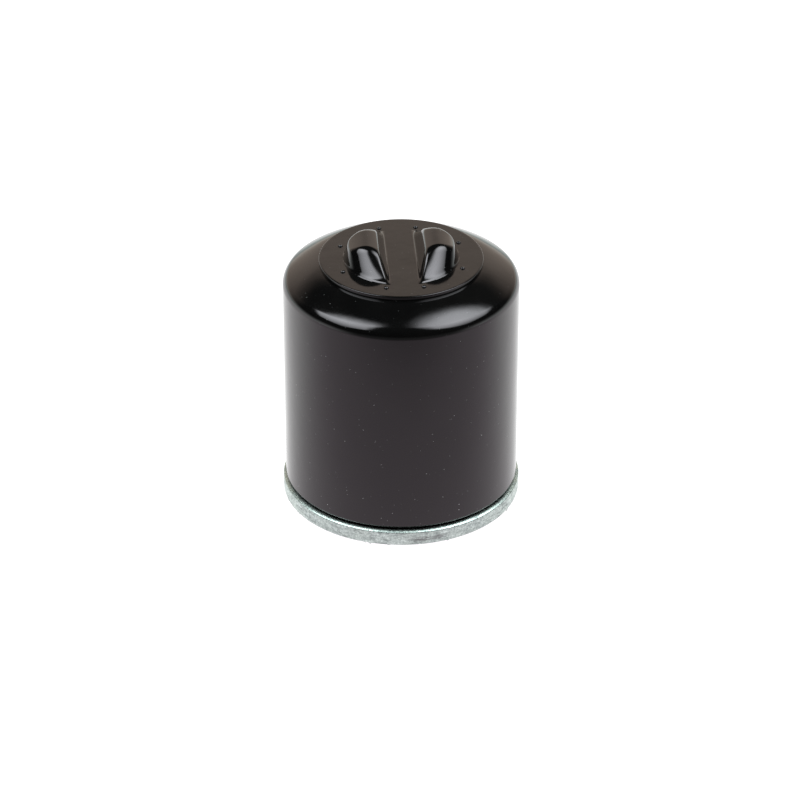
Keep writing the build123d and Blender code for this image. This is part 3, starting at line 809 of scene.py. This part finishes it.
def make_tapping_plate(materials):
    steps = INLETS * SECTOR_ARC
    face_top = PLATE_LOW + PLATE_T
    lead_r, top_r = THREAD_MINOR_R + THREAD_LEAD, THREAD_MINOR_R + THREAD_RUN_OUT
    bend = 0.7
    quarter = [math.radians(15 * k) for k in range(7)]
    rim = [(PATCH_OUT_R, face_top), (PLATE_R - 0.9, face_top), (PLATE_R - 0.25, face_top - 0.12),
           (PLATE_R, face_top - 0.7), (PLATE_R, PLATE_LOW + 0.35), (PLATE_R - 0.3, PLATE_LOW),
           (PATCH_OUT_R, PLATE_LOW)]
    corner = [(COLLAR_R + bend - bend * math.sin(a), face_top + bend - bend * math.cos(a)) for a in quarter]
    shoulder = [(COLLAR_R - bend + bend * math.cos(a), PLATE_TOP - bend + bend * math.sin(a))
                for a in quarter]
    collar = [(PATCH_IN_R, face_top)] + corner + shoulder + [(top_r, PLATE_TOP)]
    parts = [open_strip(rim, steps), open_strip(collar, steps), thread_grid(steps),
             open_strip([(lead_r, PLATE_LOW), (PATCH_IN_R, PLATE_LOW)], steps)]
    # the sectors' joints lie half a sector round from the strips' first step, which is a step as well
    for sector in range(INLETS):
        parts.append(inlet_patch(face_top, -1, sector))
        parts.append(inlet_patch(PLATE_LOW, 1, sector))
    points, faces = joined(parts)
    plate = add_mesh("tapping_plate", points, faces, materials["plate_steel"], crisp=28)
    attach(plate, "shell")
    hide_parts("base_plate")


# ---------------- rubber pieces inside
def make_drain_flap(materials):
    """Silicone cone: thick ring on the collar, thin curved skirt with low ribs, and a beaded lip."""
    in_r, out_r = VALVE_RING_R
    ring_low = PLATE_TOP
    lip_in = VALVE_R - 0.8
    under, over = [], []
    for k in range(9):
        t = k / 8
        r = out_r + (lip_in - out_r) * t
        sag = math.sin(math.pi * t) * 0.35
        under.append((r, ring_low + (VALVE_LOW + 0.75 - ring_low) * t + sag * 0.4))
        over.append((r + 0.35, VALVE_TOP - 0.05 + (VALVE_LOW + 1.35 - VALVE_TOP) * t - sag))
    outline = [(in_r + 0.15, ring_low), (in_r, ring_low + 0.15),
               (in_r, VALVE_TOP - 0.15), (in_r + 0.15, VALVE_TOP)]
    outline += over
    outline += [(VALVE_R - 0.1, VALVE_LOW + 1.1), (VALVE_R, VALVE_LOW + 0.6),
                (VALVE_R - 0.12, VALVE_LOW + 0.1), (VALVE_R - 0.4, VALVE_LOW),
                (lip_in + 0.1, VALVE_LOW + 0.12)]
    outline += list(reversed(under))

    def ribbed(angle, r, z):
        rib = max(0, math.cos(FLAP_RIBS * angle)) ** 6
        on_skirt = max(0, min(1, (r - out_r - 0.6) / 1.5, (VALVE_R - 1.2 - r) / 1.5))
        low_side = z < VALVE_TOP - (r - out_r) * 0.72 - 0.55
        return r, z - rib * on_skirt * (FLAP_RIB_DEPTH if low_side else 0)

    points, faces = turned(outline, 288, ribbed)
    flap = add_mesh("drain_flap", points, faces, materials["silicone_rubber"], crisp=45)
    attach(flap, "drain_valve")
    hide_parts("anti_drain_valve")
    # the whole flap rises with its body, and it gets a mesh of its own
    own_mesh(flap)


def make_poppet_seal(materials):
    """Flat rubber washer with a rounded rim and the shallow ring pressed in by the seat's bead."""
    pressed = SEAL_TOP - 0.06
    outline = soften([
        (SEAL_HOLE_R, SEAL_LOW, 0.1), (SEAL_R, SEAL_LOW, 0.15), (SEAL_R, SEAL_TOP, 0.3),
        (SEAT_BEAD_R + 0.45, SEAL_TOP, 0.1), (SEAT_BEAD_R + 0.25, pressed, 0.1),
        (SEAT_BEAD_R - 0.25, pressed, 0.1), (SEAT_BEAD_R - 0.45, SEAL_TOP, 0.1),
        (SEAL_HOLE_R, SEAL_TOP, 0.2)], 0.1)
    points, faces = turned(outline, 128)
    seal = add_mesh("poppet_seal", points, faces, materials["nitrile_rubber"])
    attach(seal, "bypass_valve")
    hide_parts("bypass_seal")


# ---------------- paper pack
def pleat_line():
    """(radius, angle) points along the folded paper: rounded folds and straight sides."""
    line = []
    mid_r = (PAPER_R + PLEAT_ROOT_R) / 2
    reach = (PAPER_R - PLEAT_ROOT_R - PAPER_T) / 2
    sharp = 0.985            # 1 would be a zigzag
    count = 2 * PLEATS * PLEAT_STEPS
    for i in range(count):
        swing = math.cos(2 * math.pi * PLEATS * i / count)
        eased = math.asin(sharp * swing) / math.asin(sharp)
        angle = 2 * math.pi * i / count
        line.append((mid_r + reach * eased, angle))
    return line


def make_paper(materials):
    line = [Vector((r * math.cos(a), r * math.sin(a))) for r, a in pleat_line()]
    rows = 22
    count = len(line)
    ways = []
    for i in range(count):
        along = line[(i + 1) % count] - line[i - 1]
        ways.append(Vector((along.y, -along.x)).normalized())
    points, faces = [], []
    for row in range(rows + 1):
        height = row / rows
        z = PAPER_LOW + (PAPER_TOP - PAPER_LOW) * height
        loose = math.sin(math.pi * height) * 0.16
        for side in (0.5, -0.5):
            for i, here in enumerate(line):
                sway = ripple(here.x, here.y, z * 0.4, 5) * loose
                across = Vector((-here.y, here.x)).normalized()
                place = here + ways[i] * PAPER_T * PAPER_FILL * side + across * sway
                points.append((place.x, place.y, z))
    ring = 2 * count
    for i in range(count):
        n = (i + 1) % count
        for row in range(rows):
            low, high = row * ring, (row + 1) * ring
            faces.append((low + i, low + n, high + n, high + i))
            faces.append((low + count + n, low + count + i, high + count + i, high + count + n))
        faces.append((i, count + i, count + n, n))
        top = rows * ring
        faces.append((top + n, top + count + n, top + count + i, top + i))
    paper = add_mesh("pleated_paper", points, faces, materials["pleat_paper"], crisp=50)
    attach(paper, "element")
    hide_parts("filter_media")


def make_glue(name, node, low, top, free_side, materials):
    """Adhesive cast into an end cap. free_side is 1 where its open surface is on top, -1 below."""
    in_r = TUBE_R + GAP
    rows = [in_r + (GLUE_R - in_r) * k / 14 for k in range(15)]
    outline = [(r, top) for r in rows] + [(r, low) for r in reversed(rows)]

    def set_level(angle, r, z):
        if (z > (low + top) / 2) != (free_side > 0):
            return r, z
        edge = min((r - in_r), (GLUE_R - r)) / 1.2
        dip = min(1, edge) * 0.16
        pull = 0.05 * math.cos(PLEATS * angle) * min(1, edge)
        wave = 0.05 * ripple(r * math.cos(angle), r * math.sin(angle), low, 3) * min(1, edge)
        return r, z - free_side * (dip + pull + wave)

    points, faces = turned(outline, 480, set_level)
    glue = add_mesh(name, points, faces, materials["plastisol"])
    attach(glue, "element")
    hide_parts(node)


# ---------------- springs
def make_springs(materials):
    path = closed_coil(SPRING_SMALL_R, SPRING_LARGE_R, SPRING_WIRE_R, SPRING_LOW, SPRING_TOP,
                       turns=4.2, flat_turns=0.7)
    points, faces = wire(path, SPRING_WIRE_R, sides=16)
    spring = add_mesh("hold_down_coil", points, faces, materials["spring_wire"])
    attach(spring, "shell")
    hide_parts("hold_down_spring")
    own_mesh(spring)

    mean_r = COIL_R - BYPASS_WIRE_R
    path = closed_coil(mean_r, mean_r, BYPASS_WIRE_R, COIL_LOW, COIL_TOP,
                       turns=6.5, flat_turns=0.75)
    points, faces = wire(path, BYPASS_WIRE_R)
    coil = add_mesh("bypass_coil", points, faces, materials["spring_wire"])
    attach(coil, "element")
    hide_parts("bypass_spring")
    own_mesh(coil)


# ---------------- studio
FLOOR_R = 0.30
FLOOR_CENTRE_Y = 0.10


def make_floor():
    """White table. It glows, so the filter casts no shadow, and it is clear when seen from below.

    The camera sees it plain white. In reflections it is brighter away from the camera.
    """
    rim = [(FLOOR_R * math.cos(a), FLOOR_CENTRE_Y + FLOOR_R * math.sin(a), 0)
           for a in [2 * math.pi * i / 96 for i in range(96)]]
    mesh = bpy.data.meshes.new("studio_floor")
    mesh.from_pydata(rim, [], [list(range(96))])
    floor = bpy.data.objects.new("studio_floor", mesh)
    bpy.context.collection.objects.link(floor)
    floor.location.z = CAD_BOX[0].z - 0.02 * MM
    material = bpy.data.materials.new("studio_floor")
    material.use_nodes = True
    t = Tree(material.node_tree)
    t.tree.nodes.clear()
    place = t.node("ShaderNodeTexCoord").outputs["Object"]
    y = t.node("ShaderNodeSeparateXYZ", {0: place}).outputs["Y"]
    level = t.range(y, -0.20, -0.05, 0.18, 0.92, "SMOOTHSTEP")
    level = t.math("MULTIPLY", level, t.range(y, -0.06, 0.04, 1, 1.55, "SMOOTHSTEP"))
    tint = t.mix(t.range(y, -0.03, 0.01, 0, 1), (1.0, 0.94, 0.985, 1), (1, 1, 1, 1))
    seen = t.node("ShaderNodeLightPath").outputs["Is Camera Ray"]
    level = t.math("MAXIMUM", level, t.math("MULTIPLY", seen, 1.2))
    glow = t.node("ShaderNodeEmission", {"Color": tint, "Strength": level})
    clear = t.node("ShaderNodeBsdfTransparent")
    below = t.node("ShaderNodeNewGeometry").outputs["Backfacing"]
    both = t.node("ShaderNodeMixShader", {0: below, 1: glow.outputs[0], 2: clear.outputs[0]})
    t.node("ShaderNodeOutputMaterial", {"Surface": both.outputs[0]})
    mesh.materials.append(material)


HOT_REACH = 2.4          # a softbox would be dark this far from its lamp
BOX_TINT = (0.93, 1.02, 1.03, 1)
WALL_TINT = (0.82, 0.70, 0.59, 1)
BEYOND_TINT = (1.45, 1.58, 1.52, 1)
FILL = 0.02
BACKDROP = 1.1           # what the camera sees past the table, just over white
# the softboxes' outlines on the ceiling one unit above the filter: x to the right, y away from the camera
LEFT_BOX = [(-0.17, -0.03), (-0.87, 0.47), (-1.75, 0.08), (-1.75, -0.90), (-0.74, -0.90)]
RIGHT_BOX = [(0.12, -0.06), (0.50, -0.75), (1.0, -0.98), (1.90, -0.98), (1.90, 0.05), (0.98, 0.48),
             (0.34, 0.30)]


class Studio(Tree):
    """The room round the filter, as light by direction."""

    def __init__(self, world):
        world.use_nodes = True
        super().__init__(world.node_tree)
        self.tree.nodes.clear()
        way = self.node("ShaderNodeTexCoord").outputs["Generated"]
        split = self.node("ShaderNodeSeparateXYZ", {0: way})
        self.x, self.y, self.z = split.outputs
        height = self.math("MAXIMUM", self.z, 0.05)
        across = self.math("DIVIDE", self.x, height)
        away = self.math("DIVIDE", self.y, height)
        self.ceiling = self.node("ShaderNodeCombineXYZ", {0: across, 1: away, 2: 1.0}).outputs[0]

    def softbox(self, corners, hot, soft, power):
        """Light of one softbox, laid out on the ceiling one unit above the filter.

        corners go round it anticlockwise, hot is where its lamp shows through, and soft is half the width
        of its edge.
        """
        spot = self.node("ShaderNodeVectorMath", {0: self.ceiling, 1: (*hot, 1)}, operation="DISTANCE")
        fade = self.math("POWER", self.range(spot.outputs["Value"], 0, HOT_REACH, 1, 0), 2)
        light = self.math("MULTIPLY", fade, power)
        for here, there in zip(corners, corners[1:] + corners[:1]):
            along = (Vector(there) - Vector(here)).normalized()
            inward = (-along.y, along.x, along.y * here[0] - along.x * here[1])
            depth = self.node("ShaderNodeVectorMath", {0: self.ceiling, 1: inward}, operation="DOT_PRODUCT")
            edge = self.range(depth.outputs["Value"], -soft, soft, 0, 1, "SMOOTHSTEP")
            light = self.math("MULTIPLY", light, edge)
        return self.math("MULTIPLY", light, self.range(self.z, 0.06, 0.12, 0, 1))

    def light(self, colour, amount):
        return self.node("ShaderNodeBackground", {"Color": colour, "Strength": amount}).outputs[0]

    def add(self, *lights):
        total = lights[0]
        for light in lights[1:]:
            total = self.node("ShaderNodeAddShader", {0: total, 1: light}).outputs[0]
        return total


def make_studio():
    """Two softboxes overhead, a warm wall behind, and light from beyond and below the table's edge."""
    world = bpy.data.worlds.new("studio")
    bpy.context.scene.world = world
    s = Studio(world)
    left = s.softbox(LEFT_BOX, hot=(-0.58, 0.03), soft=0.08, power=8.8)
    right = s.softbox(RIGHT_BOX, hot=(0.56, -0.05), soft=0.13, power=9.0)
    wall = s.math("MULTIPLY", s.range(s.z, 0.42, 0.66, 1, 0, "SMOOTHSTEP"),
                  s.range(s.y, 0.35, 0.92, 0, 1, "SMOOTHSTEP"))
    wall = s.math("MULTIPLY", wall, s.range(s.z, -0.02, 0.02, 0, 1))
    beyond = s.math("MULTIPLY", s.range(s.z, -0.22, 0.16, 1, 0, "SMOOTHSTEP"),
                    s.range(s.y, -0.75, -0.2, 0.12, 1, "SMOOTHSTEP"))
    boxes = s.light(BOX_TINT, s.math("ADD", left, right))
    room = s.add(boxes, s.light(WALL_TINT, wall), s.light(BEYOND_TINT, beyond), s.light((1, 1, 1, 1), FILL))
    seen = s.node("ShaderNodeLightPath").outputs["Is Camera Ray"]
    plain = s.light((1, 1, 1, 1), BACKDROP)
    both = s.node("ShaderNodeMixShader", {0: seen, 1: room, 2: plain})
    s.node("ShaderNodeOutputWorld", {"Surface": both.outputs[0]})


CAMERA_ELEVATION = 30.24
CAMERA_AZIMUTH = -3.6
CAMERA_DISTANCE = 0.767
CAMERA_LENS = 155.1
CAMERA_SHIFT = (-0.0014, -0.0344)
CAMERA_AIM = Vector((0, 0, 0.0296))


def make_camera():
    data = bpy.data.cameras.new("camera")
    data.lens = CAMERA_LENS
    data.sensor_width = 36
    data.shift_x, data.shift_y = CAMERA_SHIFT
    data.clip_start, data.clip_end = 0.01, 20
    camera = bpy.data.objects.new("camera", data)
    bpy.context.collection.objects.link(camera)
    a, e = math.radians(CAMERA_AZIMUTH), math.radians(CAMERA_ELEVATION)
    back = Vector((math.sin(a) * math.cos(e), -math.cos(a) * math.cos(e), math.sin(e)))
    camera.location = CAMERA_AIM + back * CAMERA_DISTANCE
    camera.rotation_mode = "QUATERNION"
    camera.rotation_quaternion = (-back).to_track_quat("-Z", "Y")
    bpy.context.scene.camera = camera


# ---------------- put it together
CARRIED_OVER = {
    "lower_end_cap": "tin_plate",
    "upper_end_cap": "tin_plate",
    "centre_tube": "tube_steel",
    "pleat_clip": "clip_steel",
    "bypass_seat": "seat_brass",
    "bypass_cage": "cage_steel",
    "bypass_poppet": "poppet_steel",
    "spring_seat": "seat_steel",
}

materials = make_materials()
for node_name, slot_name in CARRIED_OVER.items():
    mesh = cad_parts[node_name].data
    mesh.materials.clear()
    mesh.materials.append(materials[slot_name])

make_can(materials)
make_seam_ring(materials)
make_sealant_ring(materials)
make_gasket(materials)
make_tapping_plate(materials)
make_drain_flap(materials)
make_poppet_seal(materials)
make_paper(materials)
make_glue("lower_glue", "lower_potting", LOWER_GLUE_LOW, LOWER_GLUE_TOP, 1, materials)
make_glue("upper_glue", "upper_potting", UPPER_GLUE_LOW, UPPER_GLUE_TOP, -1, materials)
make_springs(materials)

make_floor()
make_studio()
make_camera()
bpy.context.scene.view_settings.view_transform = "Standard"
